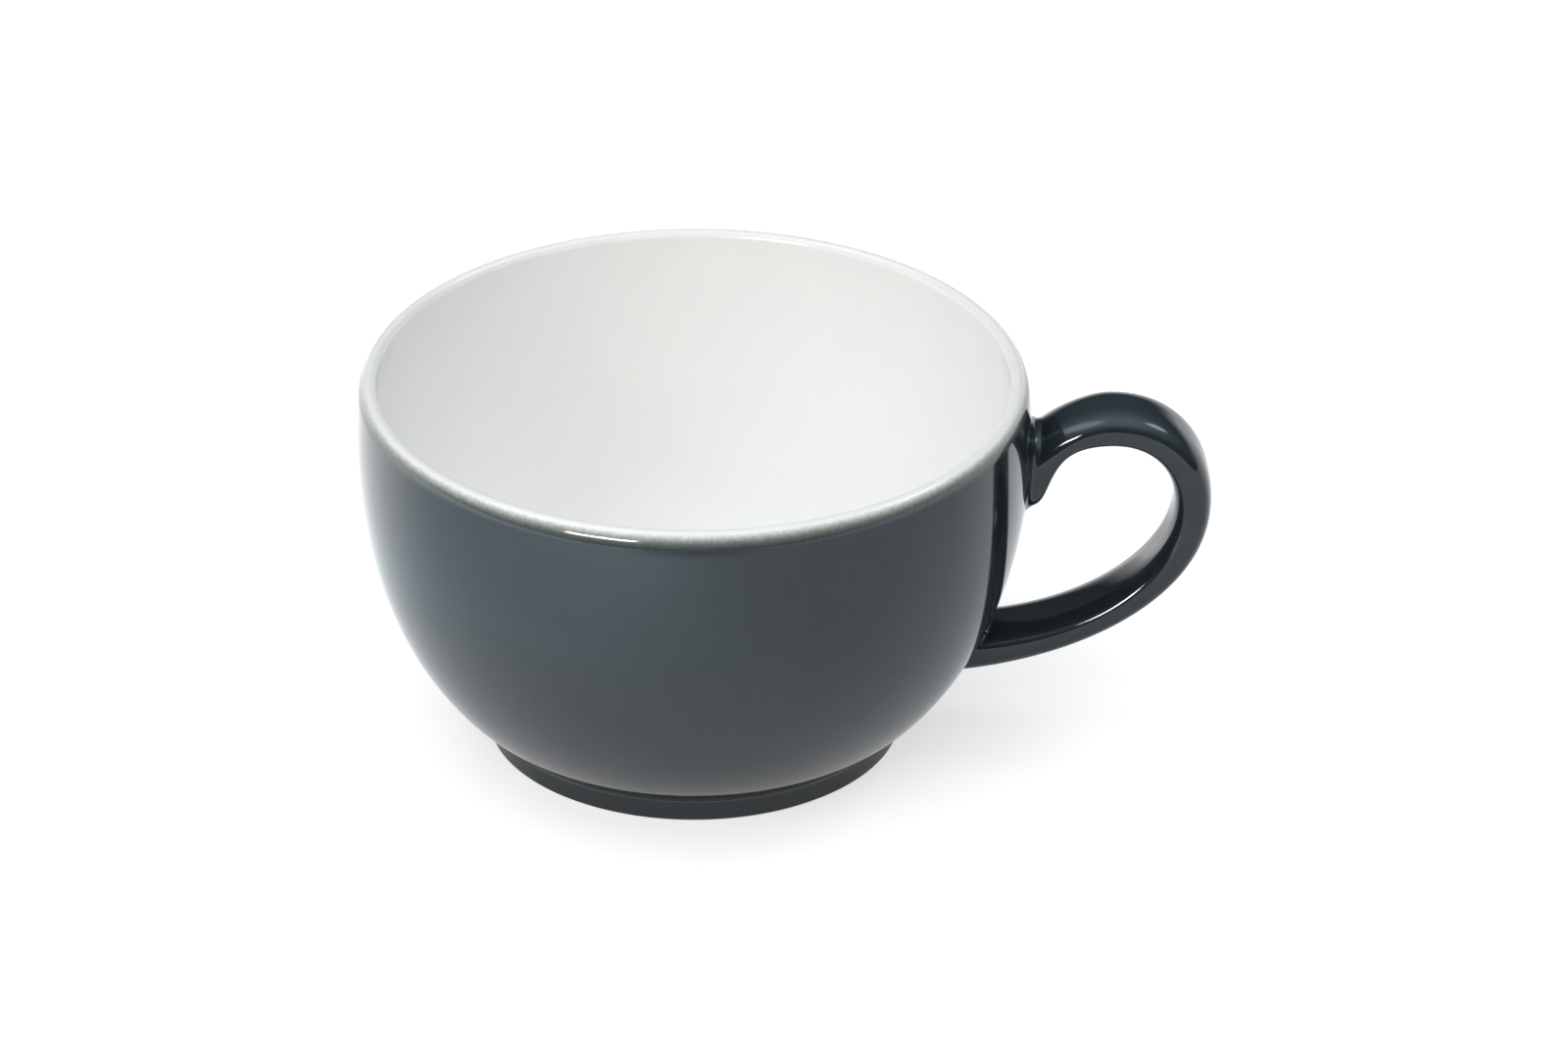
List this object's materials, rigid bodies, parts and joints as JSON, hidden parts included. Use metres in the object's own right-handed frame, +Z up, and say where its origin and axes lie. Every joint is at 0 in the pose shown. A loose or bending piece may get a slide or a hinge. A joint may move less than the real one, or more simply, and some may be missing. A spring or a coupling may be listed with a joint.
{
  "type": "coffee cup",
  "caption": "Round-bellied glazed coffee cup on a foot ring, dark outside and white inside, with a loop handle luted to its wall.",
  "frame": {"origin": "on the table, under the middle of the cup's overall box, handle included", "axes": "+Z up along the bowl's axis, +X from the bowl towards the handle, so the handle lies in the XZ plane"},
  "size_m": [0.132, 0.104, 0.0606],
  "materials": {
    "bare_clay": "matte",
    "luting_slip": "matte",
    "white_glaze": "gloss",
    "dark_glaze": "gloss"
  },
  "bodies": {
    "root": {"bowl": "bare_clay", "inside_glaze": "white_glaze", "outside_glaze": "dark_glaze", "underside_glaze": "dark_glaze", "handle": "bare_clay", "handle_glaze": "dark_glaze", "upper_luting_slip": "luting_slip", "lower_luting_slip": "luting_slip"}
  },
  "joints": []
}
